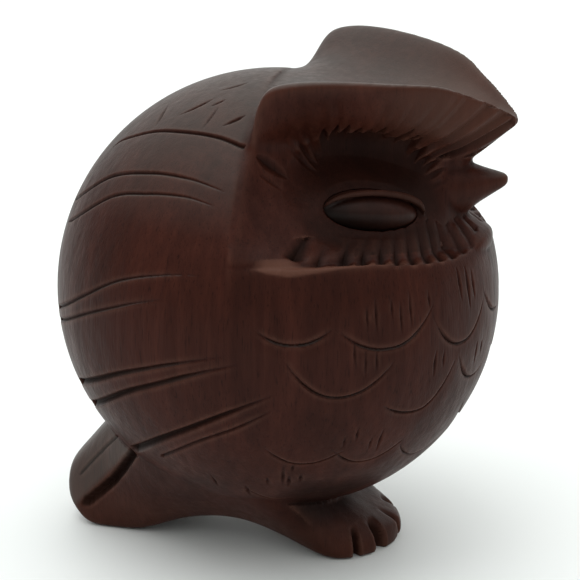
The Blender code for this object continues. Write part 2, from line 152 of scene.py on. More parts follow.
# Lines cut along the wings and the hood: (y, z) points on the side view of the ball, and the
# half width of the cut at its back and front ends
WING_LINES = (
    (((36.0, 62.9), (25.9, 70.7), (16.9, 73.5), (8.8, 73.9), (1.5, 72.6)), 0.50, 0.28),
    (((35.6, 60.2), (24.7, 68.2), (16.5, 70.6), (9.0, 71.3), (3.0, 70.4)), 0.45, 0.22),
    (((38.2, 43.4), (36.5, 45.2), (28.0, 51.6), (20.0, 56.4), (11.0, 59.0), (2.5, 59.9)), 0.60, 0.18),
    (((38.0, 41.0), (36.6, 42.5), (28.0, 48.2), (17.8, 52.9), (10.0, 55.2)), 0.60, 0.22),
    (((33.5, 30.4), (31.2, 32.8), (22.0, 38.6), (13.9, 42.2), (6.0, 44.8), (-1.0, 46.6)), 0.95, 0.22),
    (((31.4, 26.4), (29.0, 28.8), (20.0, 35.6), (11.0, 40.1), (4.0, 43.0), (-2.5, 45.1)), 0.95, 0.42),
    (((22.0, 20.6), (14.0, 27.0), (5.1, 32.5), (-2.0, 36.4), (-8.6, 39.7)), 1.05, 0.40),
    (((14.6, 22.6), (6.0, 28.6), (-2.1, 32.9), (-8.4, 36.8)), 0.45, 0.30),
)
HOOD_LINE = ((28.0, 73.6), (25.0, 75.9), (18.0, 78.8), (10.9, 79.9), (5.0, 79.9), (0.0, 78.9))
HOOD_LINE_HALF_WIDTHS = (0.3, 0.55)
# Short cuts in the feathers of the hood: (y, z) ends on the side view, half width
HOOD_NICKS = (
    ((18.6, 79.2), (18.0, 81.6), 0.35), ((14.4, 81.4), (8.6, 84.2), 0.35),
    ((8.8, 80.4), (7.0, 83.6), 0.25), ((9.0, 83.2), (6.2, 84.4), 0.28),
    ((5.2, 81.3), (1.4, 83.0), 0.40), ((8.6, 84.9), (3.6, 86.2), 0.25),
)

# Breast feathers: bearing of the middle from the side (0) to the front (90), height angle of
# the lowest point, half width, and how far the rear and front ends rise, all in degrees
SCALES = (
    (18.3, 2.8, 10.0, 4.0, 4.0),
    (43.5, -0.2, 14.0, 6.5, 9.5),
    (68.0, -3.8, 11.0, 9.0, 9.0),
    (90.0, -1.0, 11.0, 8.0, 8.0),
    (30.3, -12.3, 15.0, 12.0, 9.0),
    (54.5, -20.2, 11.5, 4.0, 13.0),
    (78.0, -16.0, 11.0, 9.0, 9.0),
    (22.0, -35.0, 12.0, 7.0, 5.0),
    (42.0, -36.0, 12.0, 7.0, 7.0),
    (67.0, -39.0, 14.0, 8.0, 8.0),
    (90.0, -32.0, 11.0, 8.0, 8.0),
    (16.0, -56.7, 15.0, 9.0, 6.0),
)
# Half width of the feather edges, and the width and depth of the wood lowered below them
FEATHER_EDGE = 0.34
FEATHER_STEP_WIDTH = 3.2
FEATHER_STEP = 0.22
# Short cuts that hatch the feathers: bearing, upper and lower height angle, half width in mm
HATCHES = (
    (68.0, 17.0, 7.0, 0.45), (71.5, 16.0, 4.0, 0.5), (74.0, 14.0, 6.0, 0.4),
    (50.0, 14.0, 4.0, 0.35), (47.0, 12.0, 3.0, 0.3), (44.5, 13.0, 7.0, 0.3),
    (40.0, 14.0, 4.0, 0.35), (37.5, 12.0, 5.0, 0.3), (56.0, 13.0, 8.0, 0.3),
    (58.0, -3.0, -11.0, 0.4), (61.0, -4.0, -9.0, 0.3), (34.0, 3.0, -4.0, 0.3),
    (37.0, 1.0, -8.0, 0.3), (40.0, 0.0, -6.0, 0.3), (45.0, -24.0, -32.0, 0.4),
    (42.0, -26.0, -31.0, 0.3), (76.0, -5.0, -12.0, 0.35), (79.0, -6.0, -10.0, 0.3),
    (18.0, -40.0, -47.0, 0.5), (22.0, -39.0, -44.0, 0.4), (2.0, -46.0, -54.0, 0.45),
    (15.9, -35.0, -46.5, 0.4), (18.9, -35.0, -38.5, 0.3), (10.5, -41.0, -45.5, 0.35),
    (37.0, -22.0, -27.5, 0.35), (33.5, -25.0, -29.0, 0.3), (-10.0, -42.0, -50.0, 0.3),
)
# Grooves down each side of the tail: points on its side, half width, depth
TAIL_GROOVES = (
    (((16.6, 21.4, 19.9), (14.3, 24.6, 15.8), (11.6, 28.4, 11.0), (9.6, 32.2, 7.0), (8.7, 35.6, 4.0)),
     1.15, 1.7),
    (((14.8, 26.6, 21.4), (11.6, 29.6, 17.6), (9.4, 33.0, 13.6), (8.2, 36.2, 9.6)), 0.40, 0.4),
)

# Notches between the toes: angle from straight ahead in degrees, half width, depth. They point
# at one middle, and run out at a height above the ground and at a distance from that middle
TOE_NOTCHES = ((0.0, 0.9, 2.0), (30.0, 1.5, 3.4), (53.0, 0.8, 2.4))
TOE_CENTRE = np.array((0.0, -9.0))
TOE_NOTCH_TOP_Z = 5.6
TOE_NOTCH_START = 8.0

# The recess above each foot: heights it lies between, how deep it is, and how dark its painted shade
# is
RECESS_BOTTOM_Z = 4.0
RECESS_TOP_Z = 20.5
RECESS_DEPTH = 0.4
RECESS_SHADE = 1.3

# Height of the rim above its flat form, as (y, rise) pairs along the owl
RIM_RISE = ((-38.5, -0.4), (-36.6, -1.4), (-34.8, -1.4), (-33.0, -0.9), (-29.0, 0.0), (-24.0, 0.9),
            (-18.0, 1.1), (-12.0, 0.9), (-6.0, 0.9), (0.0, 0.6))

# The eye hollow, measured in the plane of the eye: half length and half height above the eye,
# the same below it, its depth, and angles round the eye with the softness of the edge there
HOLLOW = np.array((16.5, 14.0))
HOLLOW_UNDER = (14.5, 7.6)
HOLLOW_DEPTH = 1.7
HOLLOW_SOFTNESS = ((115.0, 160.0), (0.13, 0.45))
# Painted highlight along the upward faces of the rim: bearing from the side (0) to the front (90),
# width in mm
RIM_STRIP = ((6.0, 0.0), (11.0, 0.7), (17.0, 1.15), (24.0, 0.8), (32.0, 0.5), (44.0, 0.3), (60.0, 0.0))
# Rays in the brow: how many, and the angles round the eye that they lie between, in degrees
# from its beak end over its top
BROW_RAYS = 18
BROW_RAY_SPAN = (27.0, 141.0)
# Cuts that end the hollow at its rear: two ends in the plane of the eye, half width, depth
SIDE_GROOVES = (
    ((-20.4, 8.0), (-14.0, 4.4), 1.15, 0.65),
    ((-19.8, 5.0), (-15.8, 2.8), 0.45, 0.25),
)

# Cuts in the ledge under the eye: bearing from the fan centre in degrees, half width in
# degrees, depth, length, and how far short of the rim each one stops
FAN_CENTRE = np.array((-4.8, -18.5))
LEDGE_CUTS = (
    (-11.5, 3.4, 1.7, 3.6, 1.5),
    (-5.6, 2.2, 0.7, 2.6, 1.2),
    (0.8, 2.9, 1.3, 4.4, 0.9),
    (6.0, 2.6, 1.2, 4.2, 0.6),
    (11.5, 2.7, 1.3, 4.6, 0.5),
    (16.6, 2.5, 1.2, 4.4, 0.3),
    (22.2, 2.7, 1.3, 4.6, 0.2),
    (28.4, 2.9, 1.2, 4.8, 0.2),
    (34.8, 3.0, 1.1, 5.0, 0.2),
    (42.0, 3.2, 0.8, 5.5, 0.2),
    (50.0, 3.6, 0.5, 6.5, 0.2),
    (58.5, 3.8, 0.45, 6.5, 0.2),
    (67.5, 4.0, 0.45, 6.5, 0.2),
    (77.0, 4.2, 0.45, 6.5, 0.2),
)
SEED = 11

# Shading: the depth at which a cut's painted shade is full, and the curve at which both an edge's wear
# and a hollow corner's painted shade are full
FULL_SHADE_DEPTH = 0.7
FULL_WEAR_AND_SHADE_CURVE = 0.03

# Colours of the wood, in linear light
WOOD_DARK = (0.035, 0.0088, 0.0055)
WOOD_MIDDLE = (0.043, 0.0112, 0.0070)
WOOD_LIGHT = (0.055, 0.0150, 0.0094)
# Painted shade: the wood's colour in cuts, hollow corners, hollows and on the shaded part of the eyes
WOOD_IN_PAINTED_SHADE = (0.0060, 0.0024, 0.0015)
# Lighter, warmer wood: real wear on convex edges, painted light on the rim and low on the feet, and
# the front of the brow
WOOD_WORN_AND_LIT = (0.13, 0.058, 0.040)
# Painted sheen: a pale grey reflection of the bright sky painted on upward faces
WOOD_PAINTED_SHEEN = (0.150, 0.146, 0.134)
EYE_DARK = (0.022, 0.0064, 0.0042)
EYE_LIGHT = (0.038, 0.0115, 0.0076)
FLOOR_COLOURS = ((0.86, 0.88, 0.87), (0.90, 0.91, 0.90))

# Studio light, in metres and watts: the sky's dimmest strength, what it gains towards each
# direction, and a soft lamp overhead
SKY_DIMMEST = 0.095
SKY_COLOUR = (0.97, 1.0, 0.985)
SKY_OVERHEAD = ((0.0, 0.0, 1.0), 1.35)
SKY_BEHIND = ((0.97, 0.24, 0.0), 0.80)
TOP_LIGHT_PLACE = (-0.10, 0.15, 0.70)
TOP_LIGHT_AIM = (0.0, 0.0, 0.045)
TOP_LIGHT_SIZE = 0.5
TOP_LIGHT_WATTS = 1.2
FLOOR_HALF_SIZE = 3.0

# The camera: its direction from the owl in degrees, distance in metres, lens in millimetres,
# and how far right of and below the ball's middle it aims, in metres
CAMERA_AZIMUTH = -76.0
CAMERA_ELEVATION = 18.0
CAMERA_DISTANCE = 0.5
CAMERA_LENS = 170.7
CAMERA_SENSOR = 36.0
AIM_RIGHT = 0.0022
AIM_DOWN = 0.0006


def rising(values, start, span):
    """0 up to start, then evenly up to 1 over a span."""
    return np.clip((values - start) / span, 0.0, 1.0)


def falling(values, end, span):
    """1 at first, then evenly down to 0 over the last span before end."""
    return np.clip((end - values) / span, 0.0, 1.0)


def smooth_curve(points, steps=8):
    """Catmull-Rom points through a row of points."""
    points = np.asarray(points, float)
    ends = np.vstack((points[:1], points, points[-1:]))
    t = np.linspace(0.0, 1.0, steps, endpoint=False)[:, None]
    parts = []
    for i in range(len(points) - 1):
        a, b, c, d = ends[i : i + 4]
        parts.append(0.5 * (2 * b + (c - a) * t + (2 * a - 5 * b + 4 * c - d) * t**2
                            + (3 * b - a - 3 * c + d) * t**3))
    return np.vstack((*parts, points[-1:]))


def skin_from_side(line, side):
    """Points on the ball's skin from their side view."""
    y, z = line.T
    inside = 1.0 - (y / BALL[1]) ** 2 - ((z - BALL_Z) / BALL[2]) ** 2
    return np.column_stack((side * BALL[0] * np.sqrt(np.maximum(inside, 0.0)), y, z))


def skin_from_angles(bearing, height, side):
    """Points on the ball's skin from bearing and height angles in degrees."""
    a, e = np.radians(bearing), np.radians(height)
    way = np.column_stack((side * np.cos(a) * np.cos(e), -np.sin(a) * np.cos(e), np.sin(e)))
    reach = 1.0 / np.sqrt(((way / BALL) ** 2).sum(1))
    return way * reach[:, None] + (0.0, 0.0, BALL_Z)


def skin_inset(points):
    """Rough depth of points below the ball's skin."""
    scaled = (points - (0.0, 0.0, BALL_Z)) / BALL
    return (1.0 - np.linalg.norm(scaled, axis=1)) * BALL[0]


def mirrored_ring(y, half):
    """A closed ring at y from the (x, z) points of its half."""
    return [(x, y, z) for x, z in half] + [(-x, y, z) for x, z in reversed(half[1:-1])]


def loft_into(bm, rings):
    """Join rings of equal length into a closed form."""
    rows = [[bm.verts.new(point) for point in ring] for ring in rings]
    for near, far in zip(rows, rows[1:]):
        for i in range(len(near)):
            j = (i + 1) % len(near)
            bm.faces.new((near[i], near[j], far[j], far[i]))
    bm.faces.new(rows[0])
    bm.faces.new(rows[-1])


def mesh_of(bm, name):
    """The form as a mesh; the form itself is freed."""
    mesh = bpy.data.meshes.new(name)
    bm.to_mesh(mesh)
    bm.free()
    return mesh


def added(name, data):
    """A new object in the scene."""
    obj = bpy.data.objects.new(name, data)
    bpy.context.scene.collection.objects.link(obj)
    return obj


def temporary(bm, name):
    """An object that is used up while the pieces are made."""
    bmesh.ops.recalc_face_normals(bm, faces=bm.faces)
    return added(name, mesh_of(bm, name))


def evaluated(obj):
    """The object's mesh with its modifiers applied, as a new mesh; the object goes away."""
    depsgraph = bpy.context.evaluated_depsgraph_get()
    mesh = bpy.data.meshes.new_from_object(obj.evaluated_get(depsgraph))
    bpy.data.objects.remove(obj, do_unlink=True)
    return mesh


def cut_away(obj, tools, solver):
    """The object's mesh with the tools cut out of it; the object and the tools go away."""
    for tool in tools:
        modifier = obj.modifiers.new("cut", "BOOLEAN")
        modifier.object, modifier.operation, modifier.solver = tool, "DIFFERENCE", solver
    mesh = evaluated(obj)
    for tool in tools:
        bpy.data.objects.remove(tool, do_unlink=True)
    return mesh


def subdivided(bm, name, levels):
    """The form rounded by subdivision, as a mesh."""
    obj = temporary(bm, name)
    modifier = obj.modifiers.new("smooth", "SUBSURF")
    modifier.levels = modifier.render_levels = levels
    return evaluated(obj)


def ellipsoid(matrix, segments=96, rings=64):
    """The unit sphere, stretched and placed by a matrix."""
    bm = bmesh.new()
    bmesh.ops.create_uvsphere(bm, u_segments=segments, v_segments=rings, radius=1.0, matrix=matrix)
    return bm


def placed(centre, radii):
    """The matrix that gives the unit sphere these radii and this centre."""
    return Matrix.Translation(centre) @ Matrix.Diagonal((*radii, 1.0))


def eye_axes(side):
    """Unit vectors at one eye: along the face to the beak, outward, and up."""
    level = np.array((-side * math.cos(EYE_TURN), -math.sin(EYE_TURN), 0.0))
    outward = np.array((side * math.sin(EYE_TURN), -math.cos(EYE_TURN), 0.0))
    rise = np.array((0.0, 0.0, 1.0))
    along = level * math.cos(EYE_TILT) - rise * math.sin(EYE_TILT)
    up = rise * math.cos(EYE_TILT) + level * math.sin(EYE_TILT)
    return along, outward, up


def eye_place(side, local):
    """Points given in an eye's own directions, moved to that eye."""
    return EYE_CENTRE * (side, 1.0, 1.0) + np.asarray(local) @ np.array(eye_axes(side))


def eye_local(side, points):
    """Points seen from one eye, in its own directions."""
    return (points - EYE_CENTRE * (side, 1.0, 1.0)) @ np.array(eye_axes(side)).T


def eye_nearness(side, points):
    """How far points lie from one eye: 1 at a small margin outside its dome, more beyond."""
    margin = 0.5
    return np.linalg.norm(eye_local(side, points) / (EYE_RADII + margin), axis=1)


def lid_form(side):
    """A thin upper lid along the top of the eye, with a small hook at the beak end."""
    turns = np.radians(np.linspace(*LID_ARC, 31))
    bm = bmesh.new()
    rings = []
    for i, turn in enumerate(turns):
        share = i / (len(turns) - 1)
        along = LID_HALF_LENGTH * math.cos(turn)
        if turn > 0.0:
            up = LID_RISE * math.sin(turn) ** 0.8
        else:
            up = -LID_HOOK_DROP * abs(math.sin(turn)) ** 0.5
        out = LID_END_OUT + LID_MIDDLE_OUT * math.sin(max(turn, 0.0)) ** 0.7
        thick = LID_THICKNESS + LID_THICKNESS_GAIN * share
        ring = []
        for corner in np.linspace(0.0, 2.0 * math.pi, 10, endpoint=False):
            width, height = 1.5 * thick * math.cos(corner), thick * math.sin(corner)
            ring.append((along, out + width, up + height))
        rings.append(eye_place(side, ring))
    loft_into(bm, rings)
    return subdivided(bm, "lid", 2)


def ball_form():
    """The ball with the quarter in front of the ears and above the rim cut away."""
    ball = temporary(ellipsoid(placed((0.0, 0.0, BALL_Z), BALL), 256, 160), "ball")
    bm = bmesh.new()
    size = 2.5 * BALL[1]
    bmesh.ops.create_cube(
        bm, size=size, matrix=Matrix.Translation((0.0, -0.5 * size, RIM_Z + 0.5 * size))
    )
    return cut_away(ball, [temporary(bm, "quarter")], "EXACT")


def head_form():
    """The crown, the ear ridges and the slope from the brow down to the ledge."""
    bm = bmesh.new()
    rings = []
    for y, *half in HEAD_SECTIONS:
        rim_x, rim_z = half[-1]
        if rim_z <= RIM_Z:
            half = [*half, (rim_x - 2.5, CORE_FLOOR_Z), (0.0, CORE_FLOOR_Z)]
        else:
            half = [*half, (0.5 * rim_x, rim_z), (0.0, rim_z)]
        rings.append(mirrored_ring(y, half))
    loft_into(bm, rings)
    return subdivided(bm, "head", 3)


def beak_form():
    """The beak, a row of ovals that narrows to its tip."""
    bm = bmesh.new()
    rings = []
    for y, half_width, bottom, top in BEAK_SECTIONS:
        middle, height = 0.5 * (top + bottom), 0.5 * (top - bottom)
        turns = np.linspace(0.0, 2.0 * math.pi, 16, endpoint=False)
        rings.append([(half_width * math.sin(a), y, middle + height * math.cos(a)) for a in turns])
    loft_into(bm, rings)
    return subdivided(bm, "beak", 3)


def keel_form():
    """The feet in front and the tail behind, with the arch between them."""
    bm = bmesh.new()
    rings = []
    for y, foot, bottom, shoulder, shoulder_z, top in KEEL_SECTIONS:
        waist = max(foot, 0.5 * (foot + shoulder) + 0.6)
        half = [
            (0.0, top), (0.6 * shoulder, top), (shoulder, shoulder_z),
            (waist, 0.5 * (bottom + shoulder_z)), (foot, bottom + 0.6), (0.94 * foot, bottom),
            (0.5 * foot, bottom), (0.0, bottom),
        ]
        rings.append(mirrored_ring(y, half))
    loft_into(bm, rings)
    return subdivided(bm, "keel", 3)


def cut_sockets(mesh):
    """Cut both eye sockets out of the mesh with crisp edges."""
    tools = []
    for side in SIDES:
        turn = Matrix(np.column_stack(eye_axes(side)).tolist()).to_4x4()
        radii = Matrix.Diagonal((*(EYE_RADII + SOCKET_GAP), 1.0))
        matrix = Matrix.Translation(EYE_CENTRE * (side, 1.0, 1.0)) @ turn @ radii
        tools.append(temporary(ellipsoid(matrix), "socket"))
    return cut_away(added("blank", mesh), tools, "MANIFOLD")


def rough_body():
    """All the forms fused into one even mesh, with the two eye sockets cut."""
    parts = [ball_form(), head_form(), beak_form(), keel_form()]
    parts.append(mesh_of(ellipsoid(placed(CHIN_CENTRE, CHIN_RADII)), "chin"))
    parts += [lid_form(side) for side in SIDES]
    bm = bmesh.new()
    for part in parts:
        bm.from_mesh(part)
        bpy.data.meshes.remove(part)
    obj = temporary(bm, "rough")
    remesh = obj.modifiers.new("remesh", "REMESH")
    remesh.mode = "VOXEL"
    remesh.voxel_size = VOXEL
    soften = obj.modifiers.new("soften", "CORRECTIVE_SMOOTH")
    soften.factor, soften.iterations, soften.use_only_smooth = 0.5, 3, True
    soften.rest_source = "ORCO"
    return cut_sockets(evaluated(obj))


def raise_to(values, where, least):
    """Raise some of the values to at least this much."""
    values[where] = np.maximum(values[where], least)


def read(elements, name, width, kind=float):
    """A row of numbers from each vertex or edge of a mesh."""
    values = np.empty(len(elements) * width, kind)
    elements.foreach_get(name, values)
    return values.reshape(-1, width)


class Carving:
    """A mesh held as arrays, with cuts gathered as depths below the skin.

    depth and step say how far each point is pushed in; groove and hollow hold painted shade, and rim a
    painted highlight.
    """

    def __init__(self, mesh):
        self.mesh = mesh
        self.points = read(mesh.vertices, "co", 3)
        self.edges = read(mesh.edges, "vertices", 2, int)
        count = len(self.points)
        self.depth, self.step = np.zeros(count), np.zeros(count)
        self.groove, self.hollow, self.rim = np.zeros(count), np.zeros(count), np.zeros(count)
        self.refresh()

    def refresh(self):
        """Hand the moved points to the mesh and read its normals again."""
        self.mesh.vertices.foreach_set("co", self.points.ravel())
        self.mesh.update()
        self.normals = read(self.mesh.vertices, "normal", 3)

    def neighbour_mean(self, values):
        """The mean of each point's neighbours."""
        total = np.zeros_like(values)
        a, b = self.edges.T
        np.add.at(total, a, values[b])
        np.add.at(total, b, values[a])
        count = np.bincount(self.edges.ravel(), minlength=len(values))
        return total / np.maximum(count, 1).reshape((-1,) + (1,) * (values.ndim - 1))

    def cut(self, where, depth, shade=1.0):
        """Deepen the cut at some points to at least this depth, and paint shade into it."""
        raise_to(self.depth, where, depth)
        # Painted shade in the cut, fuller as it deepens
        raise_to(self.groove, where, shade * rising(depth, 0.0, FULL_SHADE_DEPTH))

    def drop_onto(self, line, reach):
        """Move each point of a line to the nearest point of the mesh."""
        low, high = line.min(0) - reach, line.max(0) + reach
        near = self.points[((self.points > low) & (self.points < high)).all(1)]
        gaps = ((line[:, None, :] - near[None, :, :]) ** 2).sum(2)
        return near[gaps.argmin(1)]

    def near_line(self, line, reach):
        """Points within reach of a line, their distance to it, and how far along it they lie."""
        low, high = line.min(0) - reach, line.max(0) + reach
        where = np.flatnonzero(((self.points > low) & (self.points < high)).all(1))
        points = self.points[where]
        best = np.full(len(where), np.inf)
        along = np.zeros(len(where))
        for i, (start, end) in enumerate(zip(line, line[1:])):
            step = end - start
            t = np.clip((points - start) @ step / (step @ step), 0.0, 1.0)
            distance = np.linalg.norm(points - start - t[:, None] * step, axis=1)
            closer = distance < best
            best[closer] = distance[closer]
            along[closer] = (i + t[closer]) / (len(line) - 1)
        keep = best < reach
        return where[keep], best[keep], along[keep]

    def cut_line(self, line, half_widths, steepness, ends=(0.2, 0.2), shade=1.0):
        """A V-shaped cut along a line, running out over a share of its length at each end."""
        where, distance, along = self.near_line(line, max(half_widths))
        half_width = half_widths[0] + (half_widths[1] - half_widths[0]) * along
        fade = np.ones(len(where))
        for share, way in zip(ends, (along, 1.0 - along)):
            fade = np.minimum(fade, np.clip(way / max(share, 1e-6), 0.0, 1.0))
        half_width = half_width * (0.35 + 0.65 * fade)
        profile = np.clip(1.0 - distance / half_width, 0.0, 1.0)
        self.cut(where, steepness * half_width * profile * np.sqrt(fade), shade)

    def lower_below(self, line, reach, depth):
        """Lower the wood just below a line, so that what is above seems to overlap it."""
        where, distance, along = self.near_line(line, reach)
        low_edge = np.interp(along * (len(line) - 1), np.arange(len(line)), line[:, 2])
        below = self.points[where, 2] < low_edge
        fade = np.clip(np.minimum(along, 1.0 - along) / 0.2, 0.0, 1.0)
        amount = depth * fade * below * np.clip(1.0 - distance / reach, 0.0, 1.0) ** 1.5
        raise_to(self.step, where, amount)

    def cut_projected(self, line, direction, half_width, depth):
        """A V-shaped cut along a straight line, pressed into the surface along a direction."""
        reach = 12.0
        flat = self.points - np.outer(self.points @ direction, direction)
        shadow = line - np.outer(line @ direction, direction)
        start, step = shadow[0], shadow[-1] - shadow[0]
        t = np.clip((flat - start) @ step / (step @ step), 0.0, 1.0)
        distance = np.linalg.norm(flat - start - t[:, None] * step, axis=1)
        close = (distance < half_width) & (np.abs((self.points - line[0]) @ direction) < reach)
        where = np.flatnonzero(close & (self.normals @ direction > 0.1))
        fade = np.sqrt(np.clip(np.minimum(t / 0.6, 1.0 - t)[where] / 0.5, 0.0, 1.0))
        profile = np.clip(1.0 - distance[where] / (half_width * (0.1 + 0.9 * fade)), 0.0, 1.0)
        self.cut(where, depth * fade * profile)

    def apply_cuts(self):
        """Push every point in by the cuts gathered for it."""
        self.points -= self.normals * (self.depth + self.step)[:, None]
        self.refresh()


def carve_wings(body):
    """Feather lines along the wings and the hood, and short cuts in the hood."""
    for side in SIDES:
        for points, back, front in WING_LINES:
            line = skin_from_side(smooth_curve(points), side)
            body.cut_line(line, (back, front), steepness=1.25, ends=(0.03, 0.3))
        hood = skin_from_side(smooth_curve(HOOD_LINE), side)
        body.cut_line(hood, HOOD_LINE_HALF_WIDTHS, steepness=1.2, ends=(0.2, 0.0))
        for start, end, half_width in HOOD_NICKS:
            nick = skin_from_side(np.linspace(start, end, 9), side)
            body.cut_line(nick, (half_width, half_width), steepness=1.2, ends=(0.4, 0.3))


def carve_breast(body):
    """U-shaped feather edges and short cuts that hatch the feathers."""
    t = np.linspace(-1.0, 1.0, 33)
    for side in SIDES:
        for bearing, low, half, rise_rear, rise_front in SCALES:
            in_the_middle = bearing == 90.0
            if in_the_middle and side == SIDES[1]:
                continue
            rise = np.where(t < 0.0, rise_rear, rise_front)
            line = skin_from_angles(bearing + half * t, low + rise * np.abs(t) ** 2.2, side)
            body.cut_line(line, (FEATHER_EDGE, FEATHER_EDGE), steepness=1.4)
            body.lower_below(line, FEATHER_STEP_WIDTH, FEATHER_STEP)
        for bearing, top, bottom, half_width in HATCHES:
            height = np.linspace(top, bottom, 9)
            line = skin_from_angles(np.full(9, bearing), height, side)
            body.cut_line(line, (half_width, half_width), steepness=1.2, ends=(0.5, 0.5))


def carve_tail(body):
    """A deep groove and a fine one down each side of the tail."""
    for side in SIDES:
        for points, half_width, depth in TAIL_GROOVES:
            line = body.drop_onto(smooth_curve(points) * (side, 1.0, 1.0), reach=3.0)
            steepness = depth / half_width
            body.cut_line(line, (half_width, half_width), steepness, ends=(0.02, 0.1), shade=1.6)


def carve_leg_recess(body, side):
    """The hollow between the underside of the breast and the top of the foot, with painted shade in
    it.
    """
    x, y, z = body.points.T
    bearing = np.degrees(np.arctan2(-y, side * x))
    gap = np.maximum(-skin_inset(body.points), 0.0)
    last_bearing = np.where(gap > 0.8, 82.0, 60.0)
    weight = falling(z, RECESS_TOP_Z, 5.0) * np.clip(1.15 - gap / 4.5, 0.0, 1.0)
    weight *= rising(bearing, 12.0, 14.0) * falling(bearing, last_bearing, 16.0)
    where = np.flatnonzero((weight > 0.0) & (side * x > 1.0) & (z > RECESS_BOTTOM_Z))
    under = body.normals[where, 2] < -0.1
    raise_to(body.depth, where, RECESS_DEPTH * weight[where] * under)
    # Painted shade in the recess
    raise_to(body.hollow, where, RECESS_SHADE * weight[where])


def carve_toes(body):
    """Notches that divide the front of the feet into toes, with painted shade in them."""
    x, y, z = body.points.T
    dx, dy = x - TOE_CENTRE[0], y - TOE_CENTRE[1]
    reach = np.hypot(dx, dy)
    bearing = np.degrees(np.arctan2(np.abs(dx), -dy))
    where = np.flatnonzero((z < TOE_NOTCH_TOP_Z) & (reach > TOE_NOTCH_START))
    push = np.zeros(len(where))
    for notch, half_width, depth in TOE_NOTCHES:
        across = np.radians(np.abs(bearing[where] - notch)) * reach[where]
        push = np.maximum(push, depth * np.clip(1.0 - across / half_width, 0.0, 1.0) ** 0.7)
    push *= falling(z[where], TOE_NOTCH_TOP_Z, 2.4)
    push *= rising(reach[where], TOE_NOTCH_START, 3.0)
    out = np.column_stack((dx, dy, np.zeros(len(dx))))[where] / reach[where, None]
    body.points[where] -= out * push[:, None]
    # Painted shade in the notches
    raise_to(body.groove, where, rising(push, 0.0, 2.4))
    body.refresh()


def valley(angles, centres, half_widths):
    """How deep each angle lies in the nearest V-shaped cut, and the number of that cut."""
    gap = np.abs(angles[:, None] - centres[None, :])
    nearest = np.argmin(gap / half_widths[None, :], axis=1)
    near_gap = np.take_along_axis(gap, nearest[:, None], 1)[:, 0]
    return np.clip(1.0 - near_gap / half_widths[nearest], 0.0, 1.0), nearest


def carve_brow(body, side):
    """The deep hollow round the eye, and rays cut from it up and out to the edge of the brow."""
    rng = np.random.default_rng(SEED)
    x, y, z = body.points.T
    mine = (side * x > 0.3) & (y < -0.6) & (y > -42.8) & (z > RIM_Z + 0.8)
    where = np.flatnonzero(mine & (side * body.normals[:, 0] > 0.1))
    along, _, up = eye_local(side, body.points[where]).T
    across, high = along / HOLLOW[0], up / HOLLOW[1]
    angle = (np.degrees(np.arctan2(high, across)) + 12.0) % 360.0 - 12.0
    radius = np.hypot(across, high)
    profile, ray = carve_rays(body, where, angle, radius, rng)
    edge = 0.97 + rng.uniform(0.03, 0.22, BROW_RAYS)[ray] * profile
    softness = np.interp(angle, *HOLLOW_SOFTNESS)
    carve_hollow(body, where, along, up, edge - radius, softness)


def carve_rays(body, where, angle, radius, rng):
    """Cut the rays, each of its own strength and length; those in front run right out."""
    y, z = body.points[where, 1], body.points[where, 2]
    centres = np.linspace(*BROW_RAY_SPAN, BROW_RAYS)
    centres += rng.uniform(-1.6, 1.6, BROW_RAYS)
    front = falling(centres, 76.0, 28.0)
    strength = rng.uniform(0.6, 1.15, BROW_RAYS) * (0.34 + 0.56 * front)
    start = rng.uniform(0.90, 1.10, BROW_RAYS)
    reach = rng.uniform(0.3, 0.6, BROW_RAYS)
    profile, ray = valley(angle, centres, rng.uniform(2.6, 3.4, BROW_RAYS))
    fade = falling(radius, start[ray] + reach[ray], reach[ray]) ** 0.8
    fade = fade * (1.0 - front[ray]) + front[ray]
    rays = (angle < BROW_RAY_SPAN[1] + 3.0) & ((z > 74.5) | (y > -28.0))
    depth = strength[ray] * profile * fade * rising(radius, 0.7, 0.25)
    body.cut(where[rays], depth[rays], shade=0.5)
    return profile, ray


def carve_hollow(body, where, along, up, inset, softness):
    """Sink the hollow from its edge, inset being how far inside it a point lies, and paint shade into
    it and below the eye.
    """
    off_eye = rising(np.hypot(along / 10.2, up / 5.4), 1.0, 0.7)
    off_beak = rising(body.points[where, 1], -32.0, 5.0)
    above = np.clip(up / 3.0 + 0.6, 0.0, 1.0)
    under = np.hypot(along / HOLLOW_UNDER[0], up / HOLLOW_UNDER[1])
    inside = rising(inset, 0.0, softness) * above
    moat = falling(under, 1.0, 0.4) * (1.0 - above) * 0.6
    raise_to(body.depth, where, HOLLOW_DEPTH * np.maximum(inside, moat) * off_eye * off_beak)
    # Painted shade in the hollow above the eye and in the moat below it
    shade = rising(inset, 0.0, softness + 0.05) * above
    shade = np.maximum(shade, falling(under, 1.15, 0.35) * (1.0 - above))
    raise_to(body.hollow, where, shade)


def carve_ledge(body, side):
    """Leaf-shaped flutes that fan out over the ledge under the eye towards its rim."""
    x, y, z = body.points.T
    mine = (side * x > 1.5) & (y < -3.0) & (z > RIM_Z - 2.6) & (z < RIM_Z + 4.5)
    where = np.flatnonzero(mine & (body.normals[:, 2] > 0.45))
    points = body.points[where]
    from_fan = points[:, :2] * (side, 1.0) - FAN_CENTRE
    angle = np.degrees(np.arctan2(-from_fan[:, 1], from_fan[:, 0]))
    centres, widths, depths, lengths, strips = np.array(LEDGE_CUTS).T
    profile, cut = valley(angle, centres, widths)
    inset = skin_inset(points)
    run = np.clip(1.0 - (inset - strips[cut]) / lengths[cut], 0.0, 1.0)
    stop = np.clip((inset - strips[cut]) / 0.35 + 1.0, 0.0, 1.0)
    body.cut(where, depths[cut] * profile ** 1.7 * run * stop)


